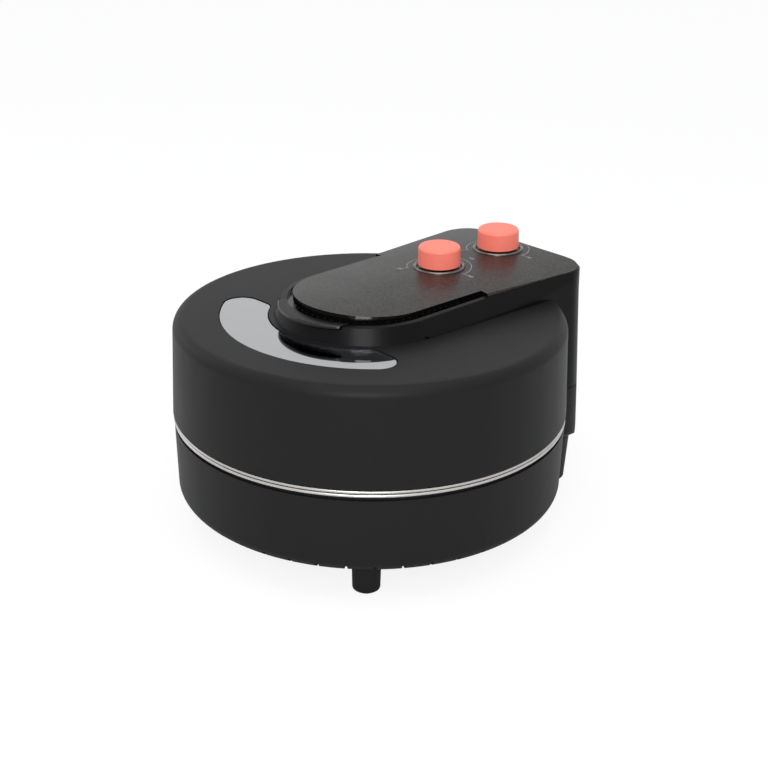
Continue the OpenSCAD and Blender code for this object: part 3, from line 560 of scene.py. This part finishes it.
def addTick(name, angle, y):
    deselectAll()
    length = prints["tickOut"] - prints["tickIn"]
    middle = prints["tickIn"] + length / 2
    bpy.ops.mesh.primitive_plane_add(size=mm(length), location=(0, 0, 0))
    piece = bpy.context.active_object
    piece.name = name
    editAll()
    bpy.ops.transform.resize(value=[1, prints["arcWidth"] / length, 1])
    bpy.ops.mesh.subdivide(number_cuts=prints["tickCuts"])
    bpy.ops.object.mode_set(mode="OBJECT")
    turn = Matrix.Rotation(math.radians(angle), 4, "Z")
    piece.data.transform(Matrix.Translation((0, y, 0)) @ turn @ Matrix.Translation((mm(middle), 0, 0)))
    return piece


def addNumber(name, word, angle, y):
    deselectAll()
    bpy.ops.object.text_add(location=(0, 0, 0))
    piece = bpy.context.active_object
    piece.name = name
    piece.data.body = word
    piece.data.size = mm(prints["numberSize"])
    piece.data.align_x = "CENTER"
    piece.data.align_y = "CENTER"
    bpy.ops.object.convert(target="MESH")
    piece = bpy.context.active_object
    r = mm(prints["numberRadius"])
    a = math.radians(angle)
    piece.data.transform(Matrix.Translation((r * math.cos(a), y + r * math.sin(a), 0)))
    return piece


for knob, y in knobs.items():
    pieces = [addArc(knob + "Arc", y), addTick(knob + "TickRight", prints["from"], y),
              addTick(knob + "TickLeft", prints["to"], y)]
    words = dialNumbers[knob]
    step = (prints["from"] - prints["to"]) / (len(words) - 1)
    for i, word in enumerate(words):
        pieces.append(addNumber(knob + "Number" + str(i), word, prints["to"] + step * i, y))
    for piece in pieces:
        if not onPanel(piece):
            print(piece.name, "runs off the panel and is left out")
            bpy.data.objects.remove(piece)
            continue
        paint(materials["printInk"], piece)
        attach(piece, "lid")
print("printed marks placed")


def mixShaders(g, link, share, first, second, output):
    mix = addNode(g, link, "MixShader", {"Fac": share, 1: first.outputs[0], 2: second.outputs[0]})
    feed(link, output, {"Surface": mix.outputs[0]})


# the camera sees white paper with a pale shadow; white is the share of it that doesn't depend on the lamps
paper = {"size": 12.0, "colour": srgb(229, 229, 230), "rough": 0.9, "specular": 0.1, "glow": 1.08,
         "white": 0.8}
deselectAll()
bpy.ops.mesh.primitive_plane_add(size=paper["size"], location=(0, 0, 0))
floor = bpy.context.active_object
floor.name = "floor"
m, g, link, shader = newMaterial("floorPaper")
feed(link, shader, {"Base Color": paper["colour"], "Roughness": paper["rough"],
                    "Specular IOR Level": paper["specular"]})
glow = addNode(g, link, "Emission", {"Strength": paper["glow"]})
path = g.new("ShaderNodeLightPath").outputs
share = mathNode(g, link, "MULTIPLY", path["Is Camera Ray"], paper["white"])
mixShaders(g, link, share, shader, glow, g["Material Output"])
paint(m, floor)

# the walls light the object; the camera, glass and part of the gloss see a white backdrop
studio = {"walls": (0.86, 0.87, 0.88, 1), "wallStrength": 0.75, "backdrop": (1, 1, 1, 1),
          "backdropStrength": 1.0, "glossShare": 0.55}
world = bpy.data.worlds.new("studio")
bpy.context.scene.world = world
world.use_nodes = True
g, link = world.node_tree.nodes, world.node_tree.links.new
feed(link, g["Background"], {"Color": studio["walls"], "Strength": studio["wallStrength"]})
bright = addNode(g, link, "Background", {"Color": studio["backdrop"], "Strength": studio["backdropStrength"]})
path = g.new("ShaderNodeLightPath").outputs
seen = mathNode(g, link, "MULTIPLY_ADD", path["Is Glossy Ray"], studio["glossShare"], path["Is Camera Ray"])
seen = mathNode(g, link, "ADD", seen, path["Is Transmission Ray"], clamp=True)
mixShaders(g, link, seen, g["Background"], bright, g["World Output"])

lamps = {
    "overheadSoftbox": {"place": (0.3, -0.3, 1.9), "aim": (0, 0, 0.1), "size": (1.6, 1.6), "power": 10},
    "leftSoftbox": {"place": (-1.7, -0.6, 1.0), "aim": (0, 0, 0.12), "size": (1.0, 1.4), "power": 2.5},
    "frontSoftbox": {"place": (1.35, -1.4, 1.25), "aim": (0, 0, 0.15), "size": (0.9, 1.0), "power": 20},
}
for name, lamp in lamps.items():
    data = bpy.data.lights.new(name, "AREA")
    data.shape = "RECTANGLE"
    data.size, data.size_y = lamp["size"]
    data.energy = lamp["power"]
    o = bpy.data.objects.new(name, data)
    bpy.context.scene.collection.objects.link(o)
    o.location = lamp["place"]
    aim = Vector(lamp["aim"]) - Vector(lamp["place"])
    o.rotation_mode = "QUATERNION"
    o.rotation_quaternion = aim.to_track_quat("-Z", "Y")
print("room and lamps placed")

bpy.context.scene.view_settings.view_transform = "Standard"
